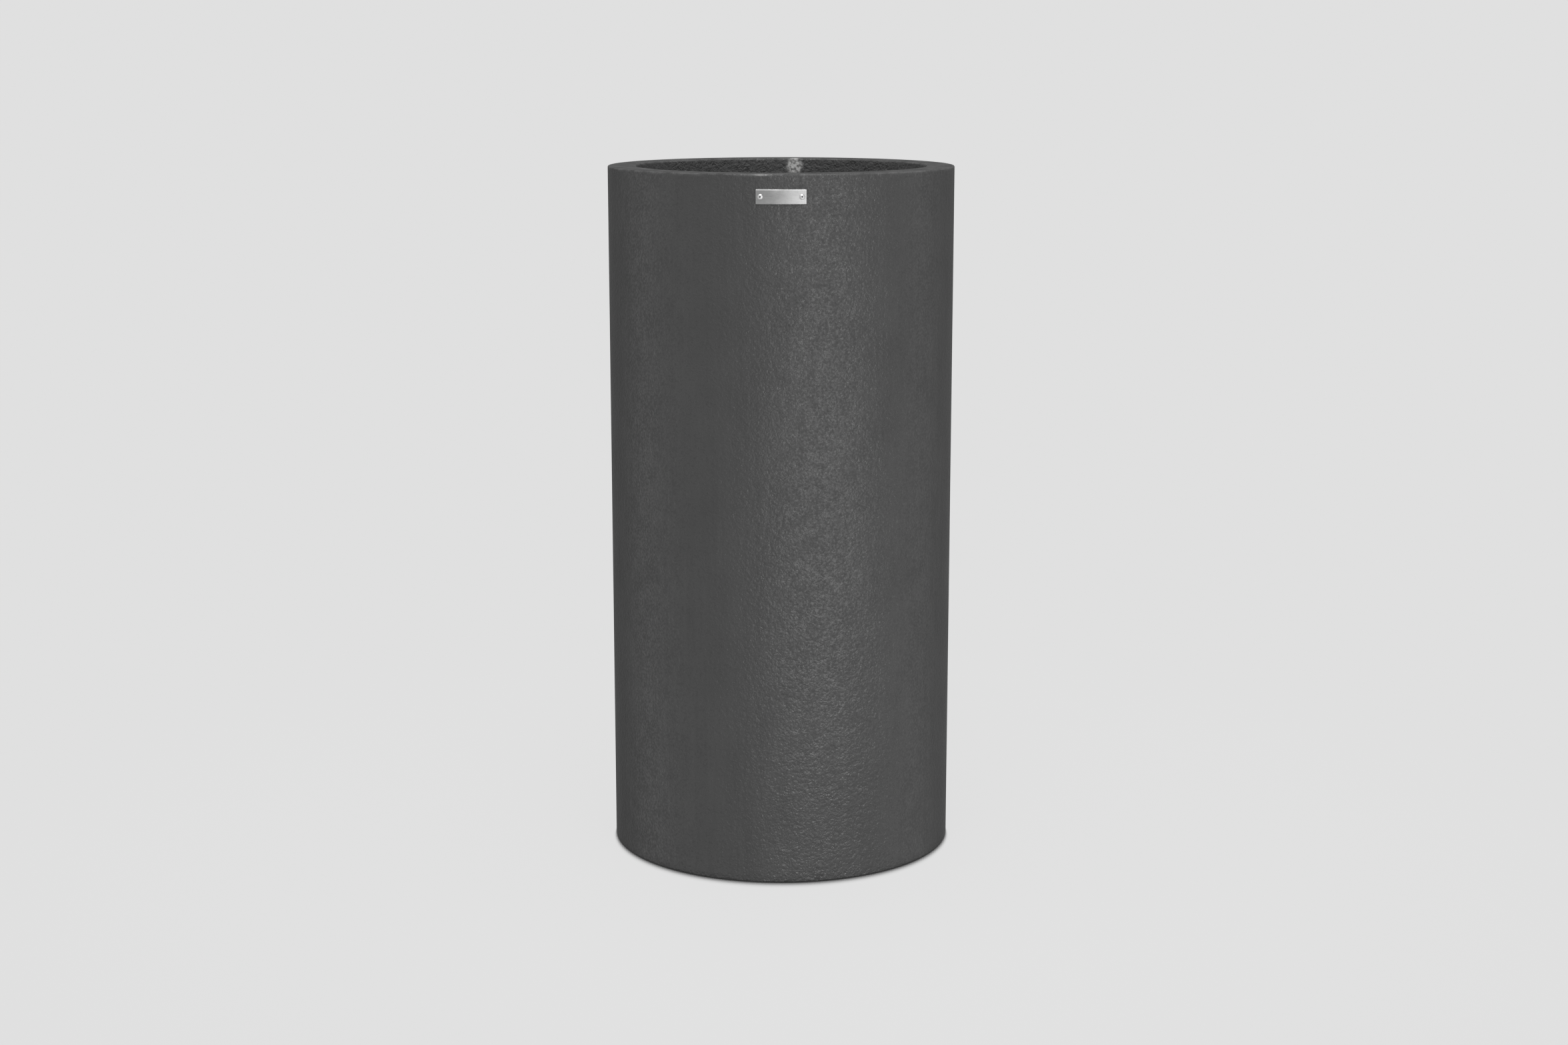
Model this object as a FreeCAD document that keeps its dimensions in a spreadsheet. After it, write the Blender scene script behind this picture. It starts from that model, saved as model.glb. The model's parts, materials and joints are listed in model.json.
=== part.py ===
import FreeCAD, Part
import os
import Sketcher

# A tall round planter, 400 mm across and 800 mm high, moulded in glass-fibre laminate. Millimetres.
# +Z is up, the front, where the name plate is riveted, faces -Y, and the origin is on the ground
# under the middle of the planter.
#
# The wall, the turned-in rim and the lip that hangs from the rim are one moulding, laid up through its
# open bottom. The floor is a second moulding, a shallow pan that goes in from below: its flange is
# bonded to the wall, its level floor is dished round a drain hole in the middle, and rubber feet are
# glued under it, which hold the wall's edge just off the ground. A rubber plug closes the drain and
# lifts straight up through the mouth. Two blind rivets hold the curved name plate: they pass through
# the plate and the wall, and their tails swell in the hollow between the wall and the lip.

SIZES = (
    # the wall and rim moulding
    ("outer_diameter", 400, "outside of the wall"),
    ("overall_height", 800, "ground to the top of the rim"),
    ("wall_thickness", 5, "laminate of the wall"),
    ("rim_width", 32, "flat top of the rim, from the outside to the mouth"),
    ("rim_thickness", 6, "laminate of the rim's top"),
    ("lip_depth", 45, "top of the rim to the lower end of the lip"),
    ("lip_thickness", 5, "laminate of the lip"),
    ("ground_gap", 1.5, "ground to the wall's lower edge"),
    ("rim_outer_ease", 1.2, "easing of the rim's outer edge, in two facets"),
    ("rim_mouth_ease", 1.5, "easing of the rim's edge at the mouth, in two facets"),
    ("rim_inner_bevel", 5, "laminate built up inside the rim's two corners"),
    ("lip_end_bevel", 1, "bevel of the lip's lower edge on the mouth's side"),
    # the floor pan and its bond
    ("pan_thickness", 5, "laminate of the pan"),
    ("pan_flange", 36, "height of the pan's flange, from its underside"),
    ("pan_corner_bevel", 6, "bevel inside the corner of flange and floor"),
    ("bond_line", 0.6, "paste between the flange and the wall"),
    ("bond_cove", 9, "height of the paste above the flange"),
    ("bond_setback", 1.2, "edge of the paste back from the flange's inner edge"),
    ("drain_diameter", 22, "drain hole"),
    ("drain_boss_margin", 5, "flat bottom of the dish beyond the plug's flange"),
    ("drain_boss_thickness", 8, "laminate of the dish's bottom"),
    ("dish_depth", 3, "floor to the bottom of the dish"),
    ("dish_slope", 14, "width of the dish's sloping edge"),
    # the feet
    ("foot_count", 4, "number of feet"),
    ("foot_turn", 45, "first foot round from +X, in degrees"),
    ("foot_inset", 30, "outside of the wall to the nearest edge of a foot"),
    ("foot_diameter", 40, "rubber foot, a disc cut from thick sheet"),
    ("foot_height", 11, "rubber foot, ground to the pan's underside"),
    # the drain plug
    ("plug_clearance", 0.15, "between the plug's neck and the drain hole, all round"),
    ("plug_taper", 1.5, "narrowing of the neck to its tip, all round"),
    ("plug_reach", 2.5, "tip of the neck below the boss"),
    ("plug_flange_lap", 8, "flange beyond the edge of the drain hole"),
    ("plug_flange_thickness", 2.6, "flange"),
    ("plug_grip_width", 20, "grip, side to side"),
    ("plug_grip_height", 15, "grip, from the flange's underside"),
    ("plug_grip_thickness", 4.5, "grip, front to back"),
    ("plug_grip_round", 6, "radius of the grip's top corners"),
    ("plug_grip_bevel", 0.8, "bevel round the grip's two faces"),
    # the name plate and its rivets
    ("plate_width", 55.5, "name plate, along its curve"),
    ("plate_height", 16.2, "name plate, top to bottom"),
    ("plate_thickness", 1.2, "name plate"),
    ("plate_drop", 16.1, "top of the rim to the top of the plate"),
    ("plate_gap", 0.1, "between the plate and the wall"),
    ("plate_bevel", 0.3, "bevel round the plate's face"),
    ("plate_corner_round", 0.8, "radius of the plate's corners"),
    ("rivet_inset", 5, "end of the plate to the middle of a rivet"),
    ("rivet_diameter", 3.2, "rivet shank"),
    ("rivet_play", 0.05, "between the shank and its holes, all round"),
    ("rivet_seat_gap", 0.05, "between the tail's shoulder and the wall"),
    ("rivet_head_diameter", 6.2, "domed head"),
    ("rivet_head_height", 1.2, "domed head, if it had no bore"),
    ("rivet_tail_diameter", 4.8, "swollen tail behind the wall"),
    ("rivet_tail_length", 4, "swollen tail"),
    ("mandrel_diameter", 1.8, "stem of the mandrel left in the rivet"),
    ("mandrel_play", 0.05, "between the stem and the rivet's bore, all round"),
    ("mandrel_head_diameter", 2.9, "head of the mandrel behind the tail"),
    ("mandrel_head_length", 1.6, "head of the mandrel"),
    ("mandrel_break_depth", 0.2, "broken end of the stem below the plate's face"),
)

# Places that several pieces share, as expressions on the sizes above.
OUTER = "(sizes.outer_diameter / 2)"
WALL_INSIDE = f"({OUTER} - sizes.wall_thickness)"
MOUTH = f"({OUTER} - sizes.rim_width)"
LIP_OUTSIDE = f"({MOUTH} + sizes.lip_thickness)"
RIM_UNDER = "(sizes.overall_height - sizes.rim_thickness)"
LIP_END = "(sizes.overall_height - sizes.lip_depth)"

FOOT_CIRCLE = f"({OUTER} - sizes.foot_inset - sizes.foot_diameter / 2)"

PAN_OUTSIDE = f"({WALL_INSIDE} - sizes.bond_line)"
PAN_INSIDE = f"({PAN_OUTSIDE} - sizes.pan_thickness)"
PAN_OUTER_BEVEL = "(sizes.pan_corner_bevel + sizes.pan_thickness / 2)"
DRAIN = "(sizes.drain_diameter / 2)"
PLUG_FLANGE = f"({DRAIN} + sizes.plug_flange_lap)"
BOSS = f"({PLUG_FLANGE} + sizes.drain_boss_margin)"
DISH = f"({BOSS} + sizes.dish_slope)"
FLOOR = "(sizes.foot_height + sizes.pan_thickness)"
DISH_BOTTOM = f"({FLOOR} - sizes.dish_depth)"
FLANGE_TOP = "(sizes.foot_height + sizes.pan_flange)"

PLATE_BACK = f"({OUTER} + sizes.plate_gap)"
PLATE_FACE = f"({PLATE_BACK} + sizes.plate_thickness)"
PLATE_TOP = "(sizes.overall_height - sizes.plate_drop)"
RIVET_HEIGHT = f"({PLATE_TOP} - sizes.plate_height / 2)"
RIVET_ANGLE = f"((sizes.plate_width / 2 - sizes.rivet_inset) / {PLATE_FACE} * 180 / pi)"
RIVET_HOLE = "(sizes.rivet_diameter / 2 + sizes.rivet_play)"
RIVET_BORE = "(sizes.mandrel_diameter / 2 + sizes.mandrel_play)"

NEAR = 0.01  # how near an edge lies to the place where it is looked for

V = FreeCAD.Vector
doc = FreeCAD.newDocument("tall_round_planter")


def size_sheet():
    """The spreadsheet of driving dimensions: name, value, meaning."""
    sheet = doc.addObject("Spreadsheet::Sheet", "sizes")
    for row, (alias, number, meaning) in enumerate(SIZES, start=1):
        sheet.set(f"A{row}", alias)
        sheet.set(f"B{row}", str(number))
        sheet.setAlias(f"B{row}", alias)
        sheet.set(f"C{row}", meaning)
    doc.recompute()
    return sheet


sheet = size_sheet()


def value(expression):
    """The number that an expression on the sizes gives now."""
    return float(sheet.evalExpression(expression))


# ---------------------------------------------------------------- expressions


def minus(expression):
    return f"(0 - {expression})"


def cap_radius(radius, height):
    """Radius of the arc through the edge and the top of a shallow dome."""
    return f"(({radius} ^ 2 + {height} ^ 2) / (2 * {height}))"


def eased_edge(across, up, size, side):
    """Corners of an outline that ease a level top's edge in two facets, which meet on its round. They
    run towards the axis, and side is 1 at an outer edge or -1 at the edge of a hole."""
    corner_cut = f"({size} * (1 - cos(45)))"
    outer_face = (across, f"({up} - {size})")
    where_facets_meet = (f"({across} - {side} * {corner_cut})", f"({up} - {corner_cut})")
    top_face = (f"({across} - {side} * {size})", up)
    corners = [outer_face, where_facets_meet, top_face]
    return corners if side > 0 else corners[::-1]


def place(x="0", y="0", z="0", rotation="0; 0; 0"):
    """A placement. The rotation is yaw; pitch; roll, in degrees."""
    return (
        f"create(<<placement>>; create(<<vector>>; {x}; {y}; {z}); "
        f"create(<<rotation>>; {rotation}))"
    )


# ---------------------------------------------------------------- drawing


def new_body(label):
    body = doc.addObject("PartDesign::Body", label)
    body.Label = label
    return body


def origin_of(body, role):
    return next(item for item in body.Origin.OriginFeatures if item.Role == role)


def new_sketch(body, name, plane, offset=None):
    """A sketch on one of the body's origin planes, moved by an expression for its offset."""
    sketch = body.newObject("Sketcher::SketchObject", name)
    sketch.AttachmentSupport = [(origin_of(body, plane), "")]
    sketch.MapMode = "FlatFace"
    if offset:
        sketch.setExpression("AttachmentOffset", offset)
    return sketch


def bind(sketch, constraint, expression):
    """Adds a dimension and ties it to the sizes."""
    index = sketch.addConstraint(constraint)
    sketch.setExpression(f"Constraints[{index}]", expression)


def arc_between(start, end, radius):
    """An arc of under a half circle from start to end that bulges to the right of the way there."""
    chord = end - start
    left = V(-chord.y, chord.x, 0).normalize()
    centre = (start + end) / 2 + left * (radius**2 - chord.Length**2 / 4) ** 0.5
    return Part.Arc(start, centre - left * radius, end)


def locate(sketch, item, point, corner, before=None):
    """Dimensions a point of a sketch from the origin, or squares it with the corner before it."""
    for axis, kind, square, origin_line in (
        (0, "DistanceX", "Vertical", -2),
        (1, "DistanceY", "Horizontal", -1),
    ):
        if corner[axis] == "0":
            rule = Sketcher.Constraint("PointOnObject", item, point, origin_line)
            sketch.addConstraint(rule)
        elif before and corner[axis] == before["corner"][axis]:
            rule = Sketcher.Constraint(square, before["item"], before["point"], item, point)
            sketch.addConstraint(rule)
        else:
            rule = Sketcher.Constraint(kind, -1, 1, item, point, value(corner[axis]))
            bind(sketch, rule, corner[axis])


def outline(body, name, corners):
    """A closed outline in the XZ plane. A corner is (across, up), as expressions. With a third item,
    the stretch to the next corner is an arc of that radius, which bulges to the right of the way."""
    sketch = new_sketch(body, name, "XZ_Plane")
    count = len(corners)
    points = [V(value(corner[0]), value(corner[1]), 0) for corner in corners]
    first_point = []
    for n, corner in enumerate(corners):
        start, end = points[n], points[(n + 1) % count]
        if len(corner) > 2:
            arc = arc_between(start, end, value(corner[2]))
            sketch.addGeometry(arc.copy())
        else:
            sketch.addGeometry(Part.LineSegment(start, end))
        starts_here = (sketch.getPoint(n, 1) - start).Length < NEAR
        first_point.append(1 if starts_here else 2)
    for n in range(count):
        following = (n + 1) % count
        last_point = 3 - first_point[n]
        join = Sketcher.Constraint("Coincident", n, last_point, following, first_point[following])
        sketch.addConstraint(join)
    before = None
    for n, corner in enumerate(corners):
        locate(sketch, n, first_point[n], corner, before)
        before = {"corner": corner, "item": n, "point": first_point[n]}
        if len(corner) > 2:
            bind(sketch, Sketcher.Constraint("Radius", n, value(corner[2])), corner[2])
    return sketch


def circle(body, name, plane, middle, radius, offset):
    """A sketch of one circle whose middle is (across, up), as expressions."""
    sketch = new_sketch(body, name, plane, offset)
    centre = V(value(middle[0]), value(middle[1]), 0)
    sketch.addGeometry(Part.Circle(centre, V(0, 0, 1), value(radius)))
    locate(sketch, 0, 3, middle)
    bind(sketch, Sketcher.Constraint("Radius", 0, value(radius)), radius)
    doc.recompute()
    return sketch


def turn(body, name, corners, angle=None):
    """Revolves an outline about the body's own upright axis, all round or by an angle."""
    sketch = outline(body, f"{name}_section", corners)
    revolution = body.newObject("PartDesign::Revolution", name)
    revolution.Profile = sketch
    revolution.ReferenceAxis = (sketch, ["V_Axis"])
    revolution.Angle = 360
    if angle:
        revolution.Midplane = True
        revolution.setExpression("Angle", angle)
    doc.recompute()
    return revolution


def edge_names(body, fits):
    """Names of the edges of the body's tip for which fits(edge) is true."""
    edges = body.Tip.Shape.Edges
    return [f"Edge{number}" for number, edge in enumerate(edges, start=1) if fits(edge)]


def ring_at(radius, height):
    """A test for round edges about the upright axis, of one radius, at one height."""
    wanted_radius, wanted_height = value(radius), value(height)

    def fits(edge):
        curve = edge.Curve
        if not isinstance(curve, Part.Circle) or abs(curve.Axis.z) < 1 - NEAR:
            return False
        same_radius = abs(curve.Radius - wanted_radius) < NEAR
        return same_radius and abs(curve.Center.z - wanted_height) < NEAR

    return fits


def ease(body, name, kind, names, size):
    """Rounds (Fillet) or bevels (Chamfer) edges of the body's tip."""
    if not names:
        raise ValueError(f"{body.Label}: no edge was found for {name}")
    tip = body.Tip
    dressing = body.newObject(f"PartDesign::{kind}", name)
    dressing.Base = (tip, names)
    dressing.setExpression("Radius" if kind == "Fillet" else "Size", size)
    doc.recompute()


def ease_rings(body, name, kind, rings, size):
    """Rounds or bevels the ring edges at each (radius, height)."""
    names = [edge for ring in rings for edge in edge_names(body, ring_at(*ring))]
    ease(body, name, kind, names, size)


def drill_for_rivets(body, facing, mirror, outside, inside):
    """Two radial holes, at the rivets' places, through what lies between two radii."""
    standing_off = f"({outside} + sizes.rivet_diameter)"
    swung = place(rotation=f"0; {RIVET_ANGLE}; 0")
    hole = circle(body, "rivet_hole", facing, ("0", RIVET_HEIGHT), RIVET_HOLE,
                  f"{swung} * {place(z=standing_off)}")
    drilled = body.newObject("PartDesign::Pocket", "drilled")
    drilled.Profile = hole
    drilled.setExpression("Length", f"{standing_off} - {inside} + sizes.rivet_diameter")
    doc.recompute()
    before = drilled.BaseFeature.Shape.Volume
    if drilled.Shape.Volume > before - NEAR:
        raise ValueError(f"{body.Label}: the rivet hole cut nothing")
    pair = body.newObject("PartDesign::Mirrored", "both_drilled")
    pair.Originals = [drilled]
    pair.MirrorPlane = (origin_of(body, mirror), [""])
    body.Tip = pair
    doc.recompute()


# ---------------------------------------------------------------- pieces


def planter_shell():
    """Wall, rim and lip, one moulding."""
    body = new_body("planter_shell")
    top = "sizes.overall_height"
    foot = "sizes.ground_gap"
    turn(body, "wall_and_rim", [
        (OUTER, foot),
        *eased_edge(OUTER, top, "sizes.rim_outer_ease", 1),
        *eased_edge(MOUTH, top, "sizes.rim_mouth_ease", -1),
        (MOUTH, LIP_END),
        (LIP_OUTSIDE, LIP_END),
        (LIP_OUTSIDE, RIM_UNDER),
        (WALL_INSIDE, RIM_UNDER),
        (WALL_INSIDE, foot),
    ])
    inner_corners = [(LIP_OUTSIDE, RIM_UNDER), (WALL_INSIDE, RIM_UNDER)]
    ease_rings(body, "built_up_corners", "Chamfer", inner_corners, "sizes.rim_inner_bevel")
    ease_rings(body, "lip_end", "Chamfer", [(MOUTH, LIP_END)], "sizes.lip_end_bevel")
    drill_for_rivets(body, "XZ_Plane", "YZ_Plane", OUTER, WALL_INSIDE)


def base_pan():
    """Level floor with a dish round the drain, and the flange that is bonded to the wall."""
    body = new_body("base_pan")
    under = "sizes.foot_height"
    turn(body, "pan", [
        (DRAIN, DISH_BOTTOM),
        (DRAIN, f"({DISH_BOTTOM} - sizes.drain_boss_thickness)"),
        (BOSS, f"({DISH_BOTTOM} - sizes.drain_boss_thickness)"),
        (BOSS, f"({DISH_BOTTOM} - sizes.pan_thickness)"),
        (DISH, under),
        (f"({PAN_OUTSIDE} - {PAN_OUTER_BEVEL})", under),
        (PAN_OUTSIDE, f"({under} + {PAN_OUTER_BEVEL})"),
        (PAN_OUTSIDE, FLANGE_TOP),
        (PAN_INSIDE, FLANGE_TOP),
        (PAN_INSIDE, f"({FLOOR} + sizes.pan_corner_bevel)"),
        (f"({PAN_INSIDE} - sizes.pan_corner_bevel)", FLOOR),
        (DISH, FLOOR),
        (BOSS, DISH_BOTTOM),
    ])


def bond_bead():
    """Paste that holds the pan: a thin sleeve round its flange, and a cove over the flange's top."""
    body = new_body("bond_bead")
    sleeve_end = f"(sizes.foot_height + {PAN_OUTER_BEVEL})"
    turn(body, "spread", [
        (PAN_OUTSIDE, sleeve_end),
        (PAN_OUTSIDE, FLANGE_TOP),
        (f"({PAN_INSIDE} + sizes.bond_setback)", FLANGE_TOP),
        (WALL_INSIDE, f"({FLANGE_TOP} + sizes.bond_cove)"),
        (WALL_INSIDE, sleeve_end),
    ])


def rubber_feet():
    """Discs of thick sheet rubber under the pan, at even angles."""
    radius = "(sizes.foot_diameter / 2)"
    for number in range(round(value("sizes.foot_count"))):
        body = new_body(f"rubber_foot_{number + 1}")
        turn(body, "foot", [
            ("0", "0"),
            (radius, "0"),
            (radius, "sizes.foot_height"),
            ("0", "sizes.foot_height"),
        ])
        angle = f"(sizes.foot_turn + 360 * {number} / sizes.foot_count)"
        x, y = (f"{FOOT_CIRCLE} * {part}({angle})" for part in ("cos", "sin"))
        body.setExpression("Placement", place(x, y))


def drain_plug():
    """Rubber plug: a tapered neck in the drain, a flange on the dish's bottom, and a grip. Its own
    origin is under the flange."""
    body = new_body("drain_plug")
    side = "(sizes.plug_grip_width / 2)"
    neck = f"({DRAIN} - sizes.plug_clearance)"
    tip = "(0 - sizes.drain_boss_thickness - sizes.plug_reach)"
    turn(body, "stopper", [
        ("0", tip),
        (f"({neck} - sizes.plug_taper)", tip),
        (neck, "0"),
        (PLUG_FLANGE, "0"),
        (PLUG_FLANGE, "sizes.plug_flange_thickness"),
        ("0", "sizes.plug_flange_thickness"),
    ])
    root = "(sizes.plug_flange_thickness / 2)"
    shoulder = "(sizes.plug_grip_height - sizes.plug_grip_round)"
    flat = f"({side} - sizes.plug_grip_round)"
    grip = body.newObject("PartDesign::Pad", "grip")
    grip.Profile = outline(body, "grip_outline", [
        (minus(side), root),
        (side, root),
        (side, shoulder, "sizes.plug_grip_round"),
        (flat, "sizes.plug_grip_height"),
        (minus(flat), "sizes.plug_grip_height", "sizes.plug_grip_round"),
        (minus(side), shoulder),
    ])
    grip.Midplane = True
    grip.setExpression("Length", "sizes.plug_grip_thickness")
    doc.recompute()
    half = value("sizes.plug_grip_thickness / 2")
    flange_top = value("sizes.plug_flange_thickness")

    def round_grip(edge):
        box = edge.BoundBox
        on_a_face = box.YLength < NEAR and abs(abs(edge.Vertexes[0].Y) - half) < NEAR
        return on_a_face and box.ZMax > flange_top + NEAR

    ease(body, "grip_edges", "Chamfer", edge_names(body, round_grip), "sizes.plug_grip_bevel")
    body.setExpression("Placement", place(z=DISH_BOTTOM))


def name_plate():
    """Bare metal plate, bent to the wall's curve. It is drawn facing +X and turned to the front."""
    body = new_body("name_plate")
    plate_foot = f"({PLATE_TOP} - sizes.plate_height)"
    turn(body, "rolled", [
        (PLATE_BACK, plate_foot),
        (PLATE_FACE, plate_foot),
        (PLATE_FACE, PLATE_TOP),
        (PLATE_BACK, PLATE_TOP),
    ], f"sizes.plate_width / {PLATE_FACE} * 180 / pi")
    through = value("sizes.plate_thickness")

    def corner(edge):
        return isinstance(edge.Curve, Part.Line) and abs(edge.Length - through) < NEAR

    ease(body, "round_corners", "Fillet", edge_names(body, corner), "sizes.plate_corner_round")
    face = max(body.Tip.Shape.Faces, key=lambda item: item.Area)

    def borders_face(edge):
        return any(edge.isSame(border) for border in face.Edges)

    ease(body, "bevelled_face", "Chamfer", edge_names(body, borders_face), "sizes.plate_bevel")
    drill_for_rivets(body, "YZ_Plane", "XZ_Plane", PLATE_FACE, PLATE_BACK)
    body.setExpression("Placement", place(rotation="-90; 0; 0"))


def rivets():
    """Two blind rivets, set, each with the stub of its mandrel. Their own +Z points out of the wall
    and their own origin is on the plate's face."""
    shank = "(sizes.rivet_diameter / 2)"
    head = "(sizes.rivet_head_diameter / 2)"
    dome = cap_radius(head, "sizes.rivet_head_height")
    head_at_bore = f"(sizes.rivet_head_height - {dome} + sqrt({dome} ^ 2 - {RIVET_BORE} ^ 2))"
    tail = "(sizes.rivet_tail_diameter / 2)"
    tail_shoulder = f"({WALL_INSIDE} - sizes.rivet_seat_gap - {PLATE_FACE})"
    tail_end = f"({tail_shoulder} - sizes.rivet_tail_length)"
    stem = "(sizes.mandrel_diameter / 2)"
    knob = "(sizes.mandrel_head_diameter / 2)"
    knob_end = f"({tail_end} - sizes.mandrel_head_length)"
    broken_end = minus("sizes.mandrel_break_depth")
    for side, turned in (("left", "-1"), ("right", "1")):
        upright = place(z=RIVET_HEIGHT, rotation=f"{turned} * {RIVET_ANGLE}; 0; 90")
        seat = f"{upright} * {place(z=PLATE_FACE)}"
        rivet = new_body(f"{side}_rivet")
        turn(rivet, "upset", [
            (RIVET_BORE, tail_end),
            (tail, tail_end),
            (tail, tail_shoulder),
            (shank, tail_shoulder),
            (shank, "0"),
            (head, "0", dome),
            (RIVET_BORE, head_at_bore),
        ])
        rivet.setExpression("Placement", seat)
        mandrel = new_body(f"{side}_mandrel")
        turn(mandrel, "headed", [
            ("0", knob_end),
            (knob, knob_end),
            (knob, tail_end),
            (stem, tail_end),
            (stem, broken_end),
            ("0", broken_end),
        ])
        mandrel.setExpression("Placement", seat)


# ---------------------------------------------------------------- checks and files


def pieces():
    return [item for item in doc.Objects if item.isDerivedFrom("PartDesign::Body")]


def check():
    """Stops if any object failed, any sketch is loose, or any piece isn't one valid solid."""
    doc.recompute()
    for item in doc.Objects:
        if {"Invalid", "Error"} & set(item.State):
            raise RuntimeError(f"{item.Label} failed: {item.State}")
        if item.isDerivedFrom("Sketcher::SketchObject") and not item.FullyConstrained:
            raise RuntimeError(f"{item.Label} of {item.getParentGeoFeatureGroup().Label} is loose")
    for piece in pieces():
        shape = piece.Shape
        if shape.isNull() or not shape.isValid() or len(shape.Solids) != 1 or shape.Volume <= 0:
            raise RuntimeError(f"{piece.Label} isn't one valid solid")


def write():
    os.makedirs("parts", exist_ok=True)
    for piece in pieces():
        piece.Shape.exportStep(f"parts/{piece.Label}.step")
        box = piece.Shape.BoundBox
        print(f"{piece.Label}: z {box.ZMin:.2f} to {box.ZMax:.2f} mm, "
              f"{piece.Shape.Volume / 1000:.2f} cm3")


planter_shell()
base_pan()
bond_bead()
rubber_feet()
drain_plug()
name_plate()
rivets()
check()
write()
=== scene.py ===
import json
import math

import bmesh
import bpy
from bpy.props import FloatProperty, FloatVectorProperty, PointerProperty
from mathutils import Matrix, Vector


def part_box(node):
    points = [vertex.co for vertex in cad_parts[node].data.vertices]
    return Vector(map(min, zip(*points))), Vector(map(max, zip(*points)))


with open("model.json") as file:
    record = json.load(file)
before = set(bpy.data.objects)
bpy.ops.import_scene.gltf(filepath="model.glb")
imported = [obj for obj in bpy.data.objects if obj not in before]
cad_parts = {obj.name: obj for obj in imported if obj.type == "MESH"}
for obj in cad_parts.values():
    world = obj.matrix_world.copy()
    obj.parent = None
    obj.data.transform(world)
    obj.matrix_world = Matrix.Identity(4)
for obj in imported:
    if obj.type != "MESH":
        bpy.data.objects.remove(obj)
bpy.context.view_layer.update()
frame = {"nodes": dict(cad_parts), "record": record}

bl_info = {
    "name": "Tall Fiberglass Planter Finishes",
    "version": (1, 0, 0),
    "blender": (4, 5, 0),
    "location": "3D View > Sidebar > Planter",
    "description": "Gives the packed planter its finishes and sets up the studio round it",
    "category": "Object",
}


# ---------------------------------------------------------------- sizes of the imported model, in metres

shell_low, shell_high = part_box("planter_shell")
OUTSIDE = shell_high.x
TOP = shell_high.z
BOTTOM = shell_low.z
PLATE_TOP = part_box("name_plate")[1].z

# Sizes that the boxes don't show, as the model has them.
WALL = 0.005
RIM_WIDTH = 0.032
RIM_THICKNESS = 0.006
LIP_DEPTH = 0.045
LIP_THICKNESS = 0.005
MOUTH = OUTSIDE - RIM_WIDTH


def slot_colour(slot):
    """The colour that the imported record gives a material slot."""
    return next(tuple(m["base_color"]) for m in frame["record"]["materials"] if m["slot"] == slot)


# ---------------------------------------------------------------- shader maths

class Socket:
    """A node's output. Arithmetic on it adds the Math nodes that work it out."""

    def __init__(self, graph, source):
        self.graph = graph
        self.source = source

    def math(self, operation, *values):
        return self.graph.node("ShaderNodeMath", {"operation": operation}, dict(enumerate(values)))

    def __add__(self, other):
        return self.math("ADD", self, other)

    __radd__ = __add__

    def __sub__(self, other):
        return self.math("SUBTRACT", self, other)

    def __rsub__(self, other):
        return self.math("SUBTRACT", other, self)

    def __mul__(self, other):
        return self.math("MULTIPLY", self, other)

    __rmul__ = __mul__

    def __pow__(self, other):
        return self.math("POWER", self, other)

    def __abs__(self):
        return self.math("ABSOLUTE", self)

    def __gt__(self, other):
        return self.math("GREATER_THAN", self, other)

    def __lt__(self, other):
        return self.math("LESS_THAN", self, other)

    def at_most(self, other):
        return self.math("MINIMUM", self, other)

    def at_least(self, other):
        return self.math("MAXIMUM", self, other)


class Graph:
    """A node tree that is being filled."""

    def __init__(self, tree):
        self.tree = tree
        tree.nodes.clear()

    def node(self, kind, settings=None, sockets=None, output=0):
        """Adds one node: its settings, then its sockets' values or links. Gives one output or several."""
        made = self.tree.nodes.new(kind)
        for name, setting in (settings or {}).items():
            setattr(made, name, setting)
        for key, given in (sockets or {}).items():
            socket = made.inputs[key]
            if isinstance(given, Socket):
                self.tree.links.new(given.source, socket)
            elif socket.type == "RGBA":
                socket.default_value = (*given, 1.0)
            else:
                socket.default_value = given
        if not made.outputs:
            return None
        if isinstance(output, tuple):
            return [Socket(self, made.outputs[o]) for o in output]
        return Socket(self, made.outputs[output])

    def colour_mix(self, share, first, second):
        """A colour between two others: the first where the share is 0, the second where it is 1."""
        return self.node("ShaderNodeMix", {"data_type": "RGBA"}, {0: share, 6: first, 7: second}, output=2)

    def shades(self, share, colour, dark, light):
        """From a dark to a light shade of a colour, each a factor of it, as the share rises."""
        return self.colour_mix(share, scaled(colour, dark), scaled(colour, light))

    def vector(self, operation, first, second):
        return self.node("ShaderNodeVectorMath", {"operation": operation}, {0: first, 1: second})

    def rise(self, value, low, high):
        """Goes smoothly from 0 to 1 as the value goes from low to high. High may be the lower one."""
        return self.node("ShaderNodeMapRange", {"interpolation_type": "SMOOTHSTEP"},
                         {"Value": value, "From Min": low, "From Max": high})

    def shown_rays(self):
        """1 for rays that show the background: from the camera, or off metal and through glass."""
        camera, glossy, through = self.node(
            "ShaderNodeLightPath", output=("Is Camera Ray", "Is Glossy Ray", "Is Transmission Ray"))
        return (camera + glossy + through).at_most(1.0)


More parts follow.
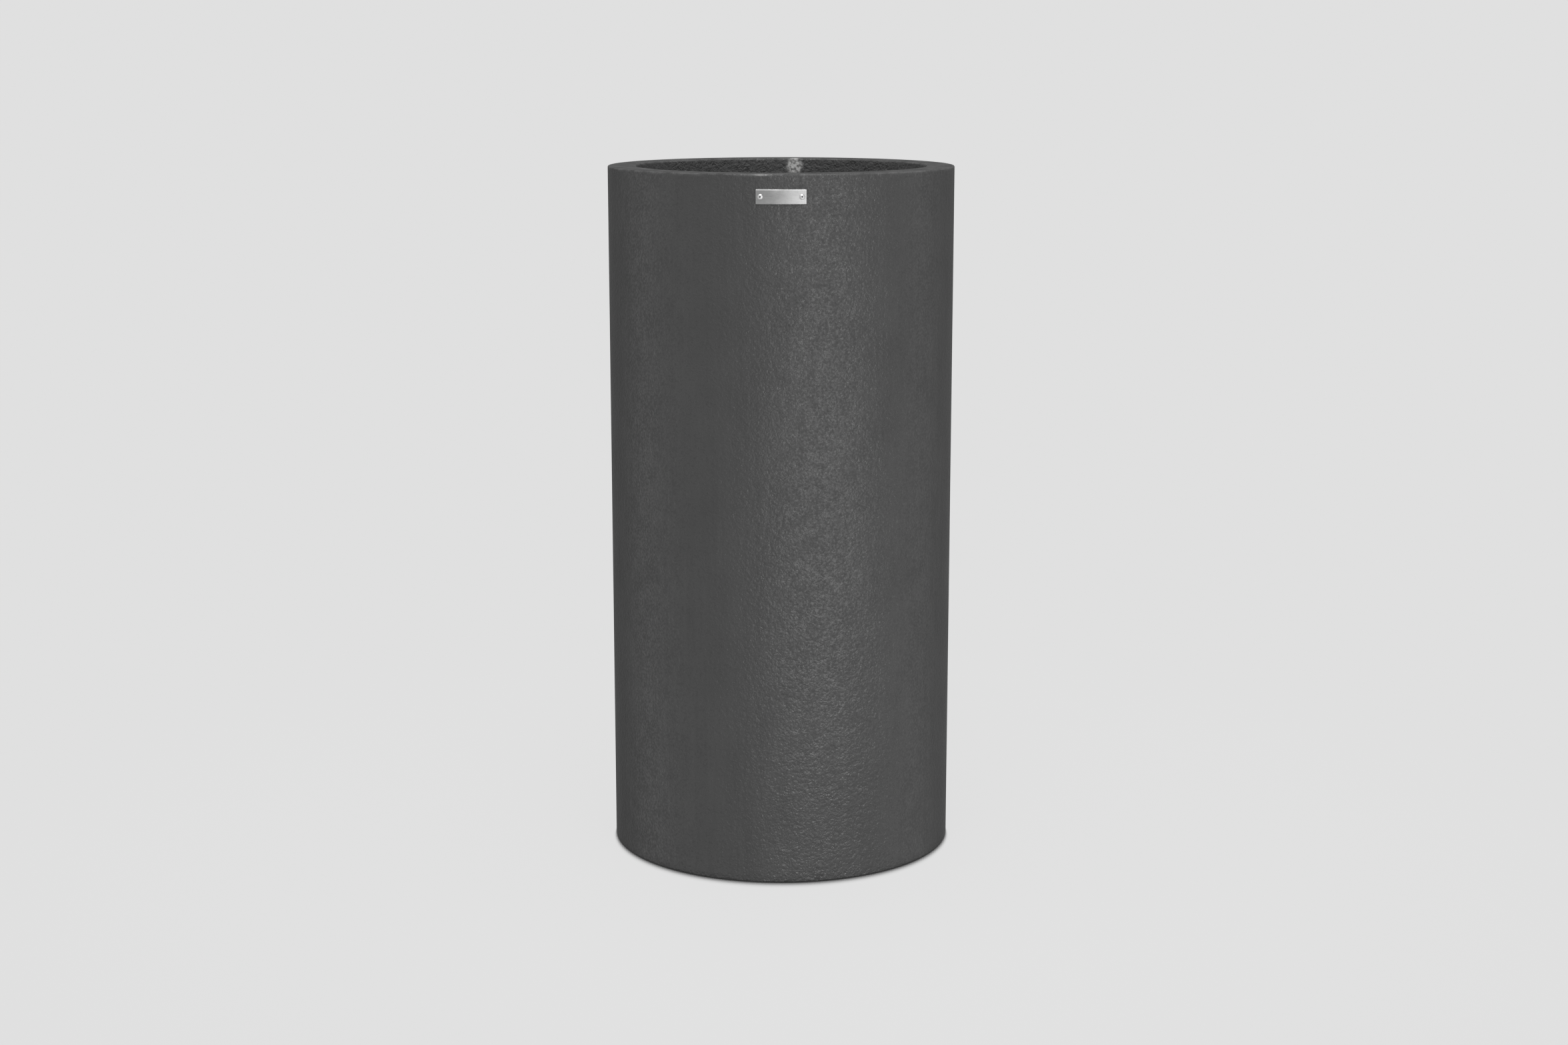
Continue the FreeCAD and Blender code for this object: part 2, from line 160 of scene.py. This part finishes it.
class Finish(Graph):
    """A material, with the places on the object that its patterns are laid out by."""

    def __init__(self, name):
        self.material = bpy.data.materials.new(name)
        self.material.use_nodes = True
        super().__init__(self.material.node_tree)
        self.place = self.node("ShaderNodeTexCoord", output="Object")
        self.x, self.y, self.z = self.node("ShaderNodeSeparateXYZ", sockets={"Vector": self.place},
                                           output=("X", "Y", "Z"))
        self.radius = (self.x * self.x + self.y * self.y) ** 0.5

    def noise(self, size, detail, stretch=None, distortion=0.0):
        """Soft noise with features about this size in metres, drawn out along an axis by stretch."""
        place = self.place if stretch is None else self.vector("DIVIDE", self.place, stretch)
        return self.node("ShaderNodeTexNoise", sockets={
            "Vector": place, "Scale": 1.0 / size, "Detail": detail, "Distortion": distortion})

    def pebbles(self, size):
        """Rounded bumps packed side by side, each about this size across."""
        distance = self.node("ShaderNodeTexVoronoi", {"feature": "SMOOTH_F1"},
                             {"Vector": self.place, "Scale": 1.0 / size, "Smoothness": 0.5})
        return 1.0 - distance

    def strands(self, size, width, distortion):
        """Thin meandering threads, as chopped glass strands lie under their resin."""
        field = self.noise(size, 1.0, distortion=distortion)
        return 1.0 - self.rise(abs(field - 0.5), 0.0, width)

    def near(self, centre, reach):
        """Falls from 1 at a place to 0 at these reaches along x, y and z."""
        away = self.vector("DIVIDE", self.vector("SUBTRACT", self.place, centre), reach)
        distance = self.node("ShaderNodeVectorMath", {"operation": "LENGTH"}, {0: away}, output="Value")
        return self.rise(distance, 1.0, 0.25)

    def from_ring(self, radius, height):
        """The distance in metres from a ring round the axis."""
        across, up = self.radius - radius, self.z - height
        return (across * across + up * up) ** 0.5

    def eased(self, reach):
        """The surface direction with its edges rolled over this far."""
        return self.node("ShaderNodeBevel", {"samples": 6}, {"Radius": reach})

    def bump(self, height, depth, normal=None):
        """Relief as deep as this in metres where the height goes from 0 to 1."""
        sockets = {"Height": height, "Distance": depth, "Strength": 1.0}
        if normal is not None:
            sockets["Normal"] = normal
        return self.node("ShaderNodeBump", sockets=sockets)

    def glancing(self):
        """0 where the surface is seen head on, 1 at a glance, where a matt grain hides its own sheen."""
        facing = self.node("ShaderNodeLayerWeight", sockets={"Blend": 0.5}, output="Facing")
        return self.rise(facing, 0.25, 0.8)

    def surface(self, sockets):
        """Ends the material with one shader."""
        shader = self.node("ShaderNodeBsdfPrincipled", sockets=sockets, output="BSDF")
        self.node("ShaderNodeOutputMaterial", sockets={"Surface": shader})
        return self.material


def scaled(colour, factor):
    """A colour made darker or lighter by a factor."""
    return tuple(channel * factor for channel in colour)


def dress(node_names, material):
    """Puts a finish on CAD nodes."""
    for name in node_names:
        piece = frame["nodes"][name]
        if not piece.material_slots:
            piece.data.materials.append(material)
        for place in piece.material_slots:
            place.material = material


# ---------------------------------------------------------------- settings

class LaminateSettings(bpy.types.PropertyGroup):
    """The gel-coated fiberglass of the shell and the pan."""

    gel_colour: FloatVectorProperty(
        name="Gel coat", description="Colour of the matt gel coat on the moulded faces",
        subtype="COLOR", size=3, min=0.0, max=1.0, default=(0.03, 0.03, 0.03))
    # Besides rubbed edges and dust, the lip's inner face goes a little towards this colour as painted light,
    # and the stain round the drain goes towards it too.
    marks_and_painted_light_colour: FloatVectorProperty(
        name="Worn edges", description="Colour that rubbed edges and dust go towards",
        subtype="COLOR", size=3, min=0.0, max=1.0, default=(0.17, 0.17, 0.17))
    flow_coat_colour: FloatVectorProperty(
        name="Flow coat", description="Colour of the resin brushed over the inside faces",
        subtype="COLOR", size=3, min=0.0, max=1.0, default=(0.075, 0.075, 0.077))
    cut_edge_colour: FloatVectorProperty(
        name="Trimmed edges", description="Colour of the sawn edges, where the glass shows",
        subtype="COLOR", size=3, min=0.0, max=1.0, default=(0.15, 0.155, 0.14))
    # This is also the colour of the glint painted at the back of the mouth, a painted highlight.
    glint_and_scuff_colour: FloatVectorProperty(
        name="Scuffs", description="Colour of the pale patch in the mouth and of the scuff at the front",
        subtype="COLOR", size=3, min=0.0, max=1.0, default=(0.6, 0.6, 0.59))
    grain_size: FloatProperty(
        name="Grain size", description="Across one pebble of the moulded grain",
        subtype="DISTANCE", unit="LENGTH", min=0.0005, max=0.02, default=0.0026)
    grain_depth: FloatProperty(
        name="Grain depth", description="Height of the moulded grain",
        subtype="DISTANCE", unit="LENGTH", min=0.0, max=0.003, default=0.001)
    cloud_size: FloatProperty(
        name="Cloud size", description="Across one cloud of the mottled colour",
        subtype="DISTANCE", unit="LENGTH", min=0.005, max=1.0, default=0.06)
    strand_depth: FloatProperty(
        name="Strand depth", description="Height of the chopped strands under the flow coat",
        subtype="DISTANCE", unit="LENGTH", min=0.0, max=0.002, default=0.00035)


class FittingSettings(bpy.types.PropertyGroup):
    """The paste, the rubber, the plate and its rivets."""

    paste_colour: FloatVectorProperty(
        name="Bonding paste", description="Colour of the filled resin between pan and wall",
        subtype="COLOR", size=3, min=0.0, max=1.0, default=slot_colour("bonding_paste"))
    rubber_colour: FloatVectorProperty(
        name="Rubber", description="Colour of the feet and the drain plug",
        subtype="COLOR", size=3, min=0.0, max=1.0, default=slot_colour("black_rubber"))
    plate_colour: FloatVectorProperty(
        name="Plate", description="Colour of the brushed plate",
        subtype="COLOR", size=3, min=0.0, max=1.0, default=scaled(slot_colour("plate_metal"), 0.64))
    rivet_colour: FloatVectorProperty(
        name="Rivets", description="Colour of the rivet heads",
        subtype="COLOR", size=3, min=0.0, max=1.0, default=slot_colour("rivet_metal"))
    mandrel_colour: FloatVectorProperty(
        name="Mandrels", description="Colour of the broken mandrel ends",
        subtype="COLOR", size=3, min=0.0, max=1.0, default=slot_colour("mandrel_steel"))
    brush_pitch: FloatProperty(
        name="Brush pitch", description="Across one brush line of the plate",
        subtype="DISTANCE", unit="LENGTH", min=0.00005, max=0.002, default=0.00018)


class StudioSettings(bpy.types.PropertyGroup):
    """The camera, the lamps and the pale background."""

    camera_distance: FloatProperty(
        name="Camera distance", description="From the planter's axis to the camera, level",
        subtype="DISTANCE", unit="LENGTH", min=0.5, max=10.0, default=2.8311)
    camera_height: FloatProperty(
        name="Camera height", description="Of the camera over the floor",
        subtype="DISTANCE", unit="LENGTH", min=0.0, max=5.0, default=0.9377)
    camera_pitch: FloatProperty(
        name="Camera pitch", description="How far the camera looks down",
        subtype="ANGLE", unit="ROTATION", min=0.0, max=1.5, default=math.radians(11.165))
    camera_lens: FloatProperty(
        name="Lens", description="Focal length on a 36 mm wide sensor, in millimetres",
        min=10.0, max=300.0, default=55.734)
    camera_shift: FloatProperty(
        name="Sideways shift", description="Of the frame, as a share of its width",
        min=-0.1, max=0.1, default=0.00185)
    background: FloatProperty(
        name="Background", description="Level of the pale floor and background, 1 is white",
        subtype="FACTOR", min=0.0, max=1.0, default=0.745)
    world_level: FloatProperty(
        name="Room light", description="Level of the even light from all round",
        min=0.0, max=5.0, default=0.68)
    key_azimuth: FloatProperty(
        name="Key direction", description="Of the wide softbox, to the right of the camera",
        subtype="ANGLE", unit="ROTATION", min=-3.2, max=3.2, default=math.radians(26.0))
    key_distance: FloatProperty(
        name="Key distance", description="From the planter's axis to the wide softbox, level",
        subtype="DISTANCE", unit="LENGTH", min=0.5, max=10.0, default=3.0)
    key_power: FloatProperty(
        name="Key power", description="Of the wide softbox, in watts",
        subtype="POWER", unit="POWER", min=0.0, max=2000.0, default=16.5)
    low_power: FloatProperty(
        name="Low power", description="Of the softbox near the floor, in watts",
        subtype="POWER", unit="POWER", min=0.0, max=2000.0, default=1.7)
    top_power: FloatProperty(
        name="Overhead power", description="Of the softbox overhead, in watts",
        subtype="POWER", unit="POWER", min=0.0, max=2000.0, default=24.0)


# ---------------------------------------------------------------- finishes

def flow_coat(finish, laminate):
    """Colour, roughness and height of the inside faces: strands and brushed resin under a thin dark coat."""
    short_strands = finish.strands(size=0.011, width=0.035, distortion=2.5)
    long_strands = finish.strands(size=0.017, width=0.028, distortion=4.0)
    strands = short_strands.at_least(long_strands * 0.8)
    brushed = finish.noise(0.05, detail=3.0, stretch=(1.0, 1.0, 2.5))
    lumps = finish.noise(0.022, detail=2.0)
    pores = finish.noise(0.0022, detail=2.0)
    resin = finish.shades(brushed, laminate.flow_coat_colour, dark=0.75, light=1.3)
    colour = finish.colour_mix(strands * 0.22, resin, laminate.cut_edge_colour)
    roughness = 0.42 + brushed * 0.2 - strands * 0.05
    height = strands * 0.5 + lumps * 0.9 + pores * 0.15
    return colour, roughness, height


# The marks on the shell, in metres: rubbed edges and dust, then the glint painted at the back of the mouth
# and the scuff.
RIM_EDGE_INSET = 0.0003
MOUTH_EDGE_INSET = 0.0004
EDGE_RUB_REACH = 0.0016
EDGE_RUB_FULL = 0.0004
DUST_DEPTH = 0.004
DUST_FULL = 0.0008
GLINT_PLACE = (0.0165, MOUTH, TOP - 0.009)
GLINT_REACH = (0.0125, 0.02, 0.0135)
SCUFF_PLACE = (-0.021, -OUTSIDE, TOP - 0.001)
SCUFF_REACH = (0.014, 0.02, 0.0017)

# How far from their own surface the lip's inner face and the two sawn ends still count as themselves.
LIP_FACE_SKIN = 0.0006
LIP_FACE_DROP = 0.001
LIP_END_HEIGHT = 0.0012
LIP_END_SLACK = 0.001
FOOT_END_HEIGHT = 0.0006
MOULDED_SKIN = 0.0004


class PLANTER_OT_finish_shell(bpy.types.Operator):
    """Matt pebbled gel coat on the shell, rubbed at its edges, with flow coat behind it"""

    bl_idname = "planter.finish_shell"
    bl_label = "Finish Shell"

    def execute(self, context):
        laminate = context.scene.planter_laminate
        finish = Finish("shell_gel_coat")
        # scuffs holds the glint painted at the back of the mouth, a painted highlight, as well as the rim's
        # real scuff.
        scuffs = self.scuffs(finish)
        gel = self.gel_coat(finish, laminate, scuffs)
        coat_colour, coat_roughness, coat_height = flow_coat(finish, laminate)
        behind = ((finish.z < TOP - RIM_THICKNESS / 2) * (finish.radius > MOUTH + LIP_THICKNESS / 2)
                  * (finish.radius < OUTSIDE - WALL / 2))
        colour = finish.colour_mix(behind, gel, coat_colour)
        colour = finish.colour_mix(self.sawn_edges(finish), colour, laminate.cut_edge_colour)

        patchy = finish.noise(laminate.grain_size, detail=3.0) * 0.75 + finish.noise(0.016, detail=2.0) * 0.25
        patchy = finish.rise(patchy, 0.37, 0.63)
        gel_roughness = 0.21 + patchy * 0.46 + scuffs * (0.2 - patchy * 0.1)
        roughness = gel_roughness + behind * (coat_roughness - gel_roughness)
        roughness = roughness + finish.glancing() * (1.0 - roughness)

        fine_grain = finish.noise(laminate.grain_size * 0.5, detail=1.0)
        broad_grain = finish.noise(laminate.grain_size * 2.0, detail=2.0)
        grain = finish.pebbles(laminate.grain_size) * 0.35 + fine_grain * 0.2 + broad_grain * 1.2
        relief = finish.bump(grain * (1.0 - behind), laminate.grain_depth, normal=finish.eased(reach=0.0012))
        relief = finish.bump(coat_height * behind, laminate.strand_depth, relief)

        dress(["planter_shell"], finish.surface({
            "Base Color": colour, "Roughness": roughness, "Normal": relief, "Specular IOR Level": 0.65}))
        return {"FINISHED"}

    def gel_coat(self, finish, laminate, scuffs):
        """Colour of the moulded faces, from the clean coat to the marks on it, plus a painted glint in the
        mouth and painted light on the lip's inner face.
        """
        clouds = finish.noise(laminate.cloud_size, detail=3.0)
        streaks = finish.noise(0.007, detail=2.0, stretch=(1.0, 1.0, 22.0))
        specks = finish.noise(laminate.grain_size * 0.7, detail=1.0)
        shade = clouds * 0.45 + streaks * 0.3 + specks * 0.25
        gel = finish.shades(finish.rise(shade, 0.3, 0.7), laminate.gel_colour, dark=0.84, light=1.16)
        gel = finish.colour_mix(self.rubbed_edges(finish), gel, laminate.marks_and_painted_light_colour)

        top_face = finish.rise(finish.z, TOP - DUST_DEPTH, TOP - DUST_FULL)
        dust = top_face * finish.rise(finish.noise(0.02, detail=5.0), 0.4, 0.7)
        gel = finish.colour_mix(dust * 0.3, gel, laminate.marks_and_painted_light_colour)
        # Painted highlight and wear: the glint at the back of the mouth and the scuff on the rim turn the gel
        # towards the pale colour.
        gel = finish.colour_mix(scuffs, gel, laminate.glint_and_scuff_colour)

        # Painted light: the lip's inner face is turned a little towards the paler colour, standing in for
        # more light reaching into the mouth.
        painted_light_on_lip = (finish.radius < MOUTH + LIP_FACE_SKIN) * (finish.z < TOP - LIP_FACE_DROP)
        return finish.colour_mix(painted_light_on_lip * 0.16, gel, laminate.marks_and_painted_light_colour)

    def rubbed_edges(self, finish):
        """Where the rim's outer and inner edges are rubbed, in broken stretches."""
        rim_ring = finish.from_ring(OUTSIDE - RIM_EDGE_INSET, TOP - RIM_EDGE_INSET)
        mouth_ring = finish.from_ring(MOUTH + MOUTH_EDGE_INSET, TOP - MOUTH_EDGE_INSET)
        rim_edge = finish.rise(rim_ring, EDGE_RUB_REACH, EDGE_RUB_FULL) * 0.35
        mouth_edge = finish.rise(mouth_ring, EDGE_RUB_REACH, EDGE_RUB_FULL) * 0.4
        return rim_edge.at_least(mouth_edge) * finish.rise(finish.noise(0.012, detail=4.0), 0.32, 0.66)

    def scuffs(self, finish):
        """A glint painted at the back of the mouth, a painted highlight, and the faint scuff on the rim's
        front edge.
        """
        blobs = finish.rise(finish.noise(0.0034, detail=2.0), 0.36, 0.58)
        # Painted highlight: the glint at the back of the mouth, broken up by the blobs.
        painted_glint = (finish.near(GLINT_PLACE, GLINT_REACH) * 1.5).at_most(1.0)
        scuff = finish.near(SCUFF_PLACE, SCUFF_REACH)
        return (painted_glint * (0.25 + blobs * 0.75)).at_least(scuff * (0.06 + blobs * 0.18))

    def sawn_edges(self, finish):
        """The trimmed ends of the lip and of the wall's foot."""
        lip_end = ((finish.z < TOP - LIP_DEPTH + LIP_END_HEIGHT)
                   * (finish.radius < MOUTH + LIP_THICKNESS + LIP_END_SLACK)
                   * (finish.radius > MOUTH + MOULDED_SKIN))
        foot_end = (finish.z < BOTTOM + FOOT_END_HEIGHT) * (finish.radius < OUTSIDE - MOULDED_SKIN)
        return lip_end.at_least(foot_end)


# Water has left a stain round the drain: where it ends and where it is full, from the drain's axis.
STAIN_REACH = 0.06
STAIN_FULL = 0.012


class PLANTER_OT_finish_base_pan(bpy.types.Operator):
    """Flow coat over chopped strands on the pan"""

    bl_idname = "planter.finish_base_pan"
    bl_label = "Finish Base Pan"

    def execute(self, context):
        laminate = context.scene.planter_laminate
        finish = Finish("pan_flow_coat")
        colour, roughness, height = flow_coat(finish, laminate)
        stains = finish.rise(finish.noise(0.015, detail=4.0), 0.35, 0.7)
        pooled = finish.rise(finish.radius, STAIN_REACH, STAIN_FULL) * stains
        colour = finish.colour_mix(pooled * 0.35, colour, laminate.marks_and_painted_light_colour)
        dress(["base_pan"], finish.surface({
            "Base Color": colour, "Roughness": roughness,
            "Normal": finish.bump(height, laminate.strand_depth, normal=finish.eased(reach=0.001)),
            "Specular IOR Level": 0.4}))
        return {"FINISHED"}


class PLANTER_OT_finish_bond_bead(bpy.types.Operator):
    """Smoothed filled resin where the pan is bonded to the wall"""

    bl_idname = "planter.finish_bond_bead"
    bl_label = "Finish Bond Bead"

    def execute(self, context):
        fittings = context.scene.planter_fittings
        finish = Finish("smoothed_bonding_paste")
        drag = finish.noise(0.012, detail=3.0, stretch=(2.5, 2.5, 0.25))
        grit = finish.noise(0.0012, detail=2.0)
        dress(["bond_bead"], finish.surface({
            "Base Color": finish.shades(drag, fittings.paste_colour, dark=0.75, light=1.2),
            "Roughness": 0.5 + grit * 0.18,
            "Normal": finish.bump(drag * 0.8 + grit * 0.2, depth=0.0005)}))
        return {"FINISHED"}


def rubber(name, fittings):
    """Matt rubber with a faint moulded grain and paler scuffs."""
    finish = Finish(name)
    skin = finish.noise(0.0009, detail=2.0)
    bloom = finish.noise(0.009, detail=4.0)
    scuffs = finish.rise(bloom, 0.4, 0.75)
    return finish.surface({
        "Base Color": finish.shades(scuffs, fittings.rubber_colour, dark=1.0, light=1.9),
        "Roughness": 0.62 + bloom * 0.2,
        "Normal": finish.bump(skin, depth=0.00012, normal=finish.eased(reach=0.0006)),
        "Specular IOR Level": 0.4})


class PLANTER_OT_finish_rubber_feet(bpy.types.Operator):
    """Sheet rubber on the four feet"""

    bl_idname = "planter.finish_rubber_feet"
    bl_label = "Finish Rubber Feet"

    def execute(self, context):
        feet = [name for name in frame["nodes"] if name.startswith("rubber_foot_")]
        dress(feet, rubber("sheet_rubber", context.scene.planter_fittings))
        return {"FINISHED"}


class PLANTER_OT_finish_drain_plug(bpy.types.Operator):
    """Moulded rubber on the drain plug"""

    bl_idname = "planter.finish_drain_plug"
    bl_label = "Finish Drain Plug"

    def execute(self, context):
        dress(["drain_plug"], rubber("plug_rubber", context.scene.planter_fittings))
        return {"FINISHED"}


# The highlight painted on the plate's top edge: depths under the top, and places across the plate.
HIGHLIGHT_DEPTH = 0.0017
HIGHLIGHT_FULL = 0.0009
HIGHLIGHT_FROM = 0.004
HIGHLIGHT_UP_TO = -0.007


class PLANTER_OT_finish_name_plate(bpy.types.Operator):
    """Bare metal plate, brushed along its length, with a highlight painted along its top edge"""

    bl_idname = "planter.finish_name_plate"
    bl_label = "Finish Name Plate"

    def execute(self, context):
        fittings = context.scene.planter_fittings
        finish = Finish("brushed_bare_plate")
        lines = finish.noise(fittings.brush_pitch, detail=2.0, stretch=(45.0, 45.0, 1.0))
        patches = finish.noise(0.006, detail=3.0, stretch=(2.0, 2.0, 1.0))
        shade = finish.rise(lines * 0.6 + patches * 0.4, 0.32, 0.68)
        colour = finish.shades(shade, fittings.plate_colour, dark=0.84, light=1.12)
        top_edge = finish.rise(finish.z, PLATE_TOP - HIGHLIGHT_DEPTH, PLATE_TOP - HIGHLIGHT_FULL)
        # Painted highlight: the top edge turns towards the rivets' paler colour, strongest on the plate's
        # left half.
        painted_highlight = top_edge * (0.3 + finish.rise(finish.x, HIGHLIGHT_FROM, HIGHLIGHT_UP_TO) * 0.7)
        colour = finish.colour_mix(painted_highlight, colour, fittings.rivet_colour)
        dress(["name_plate"], finish.surface({
            "Base Color": colour, "Metallic": 1.0, "Roughness": 0.21 + lines * 0.14 + patches * 0.05,
            "Normal": finish.bump(lines, depth=0.00002, normal=finish.eased(reach=0.0002))}))
        return {"FINISHED"}


class PLANTER_OT_finish_rivets(bpy.types.Operator):
    """Satin rivet heads with dull broken mandrels in them"""

    bl_idname = "planter.finish_rivets"
    bl_label = "Finish Rivets"

    def execute(self, context):
        fittings = context.scene.planter_fittings
        finish = Finish("satin_rivet")
        rubbed = finish.noise(0.0012, detail=3.0)
        dress(["left_rivet", "right_rivet"], finish.surface({
            "Base Color": finish.shades(rubbed, fittings.rivet_colour, dark=0.85, light=1.15),
            "Metallic": 1.0, "Roughness": 0.24 + rubbed * 0.16,
            "Normal": finish.bump(rubbed, depth=0.00003, normal=finish.eased(reach=0.0003))}))

        finish = Finish("broken_mandrel")
        torn = finish.noise(0.0004, detail=3.0)
        dress(["left_mandrel", "right_mandrel"], finish.surface({
            "Base Color": finish.shades(torn, fittings.mandrel_colour, dark=0.6, light=1.3),
            "Metallic": 1.0, "Roughness": 0.45 + torn * 0.2,
            "Normal": finish.bump(torn, depth=0.0001)}))
        return {"FINISHED"}


# ---------------------------------------------------------------- stage

WHITE = (1.0, 1.0, 1.0)
SENSOR_WIDTH_MM = 36.0
VIEW_END = 60.0

# Softboxes: each width and height, and where they stand, in metres.
WIDE_SIZE = (2.6, 0.8)
WIDE_HEIGHT = 0.5
LOW_SIZE = (1.7, 0.12)
LOW_DISTANCE = 1.1
LOW_HEIGHT = 0.07
OVERHEAD_SIZE = (1.6, 1.6)
OVERHEAD_PLACE = Vector((0.0, -1.3, 2.6))

# The floor: its own sizes, then how it fades out, and the shadow painted into its glow at the gap under the
# planter.
FLOOR_RADIUS = 8.0
FLOOR_SEGMENTS = 128
FLOOR_DROP = 0.0001
FADE_START = 0.4
FADE_END = 1.1
GLOW_NEAR = 0.93
LIFT_NEAR = 1.02
PAINTED_SHADOW_COLOUR = (0.03, 0.03, 0.03)
PAINTED_SHADOW_REACH_BEHIND = 0.002
PAINTED_SHADOW_REACH_AHEAD = 0.015
PAINTED_SHADOW_OPEN_SHARE = 0.42


def add_softbox(name, place, target, size, power):
    """A plain rectangular lamp at a place, turned to a target."""
    lamp = bpy.data.lights.new(name, "AREA")
    lamp.shape = "RECTANGLE"
    lamp.size, lamp.size_y = size
    lamp.energy = power
    box = bpy.data.objects.new(name, lamp)
    box.location = place
    box.rotation_euler = (target - place).to_track_quat("-Z", "Y").to_euler()
    bpy.context.scene.collection.objects.link(box)


class PLANTER_OT_set_up_studio(bpy.types.Operator):
    """Pale floor and background, plain soft light and the camera"""

    bl_idname = "planter.set_up_studio"
    bl_label = "Set Up Studio"

    def execute(self, context):
        studio = context.scene.planter_studio
        self.lay_floor(studio)
        self.light_room(context.scene, studio)
        middle = Vector((0.0, 0.0, TOP / 2))
        toward_key = Vector((math.sin(studio.key_azimuth), -math.cos(studio.key_azimuth), 0.0))
        wide_place = toward_key * studio.key_distance + Vector((0.0, 0.0, WIDE_HEIGHT))
        low_target = Vector((0.0, 0.0, LOW_HEIGHT))
        low_place = toward_key * LOW_DISTANCE + low_target
        add_softbox("wide_softbox", wide_place, middle, WIDE_SIZE, studio.key_power)
        add_softbox("low_softbox", low_place, low_target, LOW_SIZE, studio.low_power)
        add_softbox("overhead_softbox", OVERHEAD_PLACE, middle, OVERHEAD_SIZE, studio.top_power)
        self.place_camera(context.scene, studio)
        context.scene.view_settings.view_transform = "Standard"
        return {"FINISHED"}

    def lay_floor(self, studio):
        """A disc with a shadow painted into its glow near the planter, over a faint lit shadow, that goes
        over into the background further out.
        """
        mesh = bpy.data.meshes.new("floor")
        disc = bmesh.new()
        bmesh.ops.create_circle(disc, cap_ends=True, segments=FLOOR_SEGMENTS, radius=FLOOR_RADIUS)
        disc.to_mesh(mesh)
        disc.free()
        floor = bpy.data.objects.new("floor", mesh)
        floor.location.z = -FLOOR_DROP
        bpy.context.scene.collection.objects.link(floor)

        finish = Finish("pale_floor")
        level = scaled(WHITE, studio.background)
        far = finish.rise(finish.radius, FADE_START, FADE_END)
        shown = finish.shown_rays() * (GLOW_NEAR + far * (1.0 - GLOW_NEAR))
        # Painted shadow: ambient occlusion turns the floor's glow towards the shadow colour near the planter,
        # reaching further in front than behind.
        ahead = (finish.y * (-1.0 / OUTSIDE)).at_least(0.0)
        open_share = finish.node("ShaderNodeAmbientOcclusion", {"samples": 8},
                                 {"Distance": ahead * PAINTED_SHADOW_REACH_AHEAD + PAINTED_SHADOW_REACH_BEHIND}, output="AO")
        painted = finish.node("ShaderNodeBsdfDiffuse", sockets={"Color": level})
        bare = finish.colour_mix(far, scaled(level, LIFT_NEAR), level)
        seen = finish.colour_mix(finish.rise(open_share, PAINTED_SHADOW_OPEN_SHARE, 1.0), PAINTED_SHADOW_COLOUR, bare)
        glowing = finish.node("ShaderNodeEmission", sockets={"Color": seen, "Strength": 1.0})
        mixed = finish.node("ShaderNodeMixShader", sockets={0: shown, 1: painted, 2: glowing})
        finish.node("ShaderNodeOutputMaterial", sockets={"Surface": mixed})
        mesh.materials.append(finish.material)

    def light_room(self, scene, studio):
        """Even light from all round, and the pale background where it shows."""
        world = bpy.data.worlds.new("studio_room")
        world.use_nodes = True
        scene.world = world
        graph = Graph(world.node_tree)
        lit = graph.node("ShaderNodeBackground", sockets={"Color": WHITE, "Strength": studio.world_level})
        pale = scaled(WHITE, studio.background)
        seen = graph.node("ShaderNodeBackground", sockets={"Color": pale, "Strength": 1.0})
        mixed = graph.node("ShaderNodeMixShader", sockets={0: graph.shown_rays(), 1: lit, 2: seen})
        graph.node("ShaderNodeOutputWorld", sockets={"Surface": mixed})

    def place_camera(self, scene, studio):
        """The camera in front of the planter, a little above its rim and looking down."""
        lens = bpy.data.cameras.new("camera")
        lens.sensor_width = SENSOR_WIDTH_MM
        lens.lens = studio.camera_lens
        lens.shift_x = studio.camera_shift
        lens.clip_end = VIEW_END
        camera = bpy.data.objects.new("camera", lens)
        camera.location = (0.0, -studio.camera_distance, studio.camera_height)
        camera.rotation_euler = (math.pi / 2 - studio.camera_pitch, 0.0, 0.0)
        scene.collection.objects.link(camera)
        scene.camera = camera


# ---------------------------------------------------------------- panel and registration

OPERATORS = (
    PLANTER_OT_finish_shell,
    PLANTER_OT_finish_base_pan,
    PLANTER_OT_finish_bond_bead,
    PLANTER_OT_finish_rubber_feet,
    PLANTER_OT_finish_drain_plug,
    PLANTER_OT_finish_name_plate,
    PLANTER_OT_finish_rivets,
    PLANTER_OT_set_up_studio,
)
SETTINGS = {
    "planter_laminate": LaminateSettings,
    "planter_fittings": FittingSettings,
    "planter_studio": StudioSettings,
}


class PLANTER_PT_sidebar(bpy.types.Panel):
    """Lists the planter's finishes and settings"""

    bl_idname = "PLANTER_PT_sidebar"
    bl_label = "Tall Planter"
    bl_space_type = "VIEW_3D"
    bl_region_type = "UI"
    bl_category = "Planter"

    def draw(self, context):
        for operator in OPERATORS:
            self.layout.operator(operator.bl_idname)
        for pointer, settings in SETTINGS.items():
            box = self.layout.box()
            for name in settings.__annotations__:
                box.prop(getattr(context.scene, pointer), name)


def register():
    for settings in SETTINGS.values():
        bpy.utils.register_class(settings)
    for pointer, settings in SETTINGS.items():
        setattr(bpy.types.Scene, pointer, PointerProperty(type=settings))
    for operator in OPERATORS:
        bpy.utils.register_class(operator)
    bpy.utils.register_class(PLANTER_PT_sidebar)


def unregister():
    bpy.utils.unregister_class(PLANTER_PT_sidebar)
    for operator in reversed(OPERATORS):
        bpy.utils.unregister_class(operator)
    for pointer, settings in SETTINGS.items():
        delattr(bpy.types.Scene, pointer)
        bpy.utils.unregister_class(settings)


def main():
    register()
    for operator in OPERATORS:
        category, name = operator.bl_idname.split(".")
        getattr(getattr(bpy.ops, category), name)()


if __name__ == "__main__":
    main()
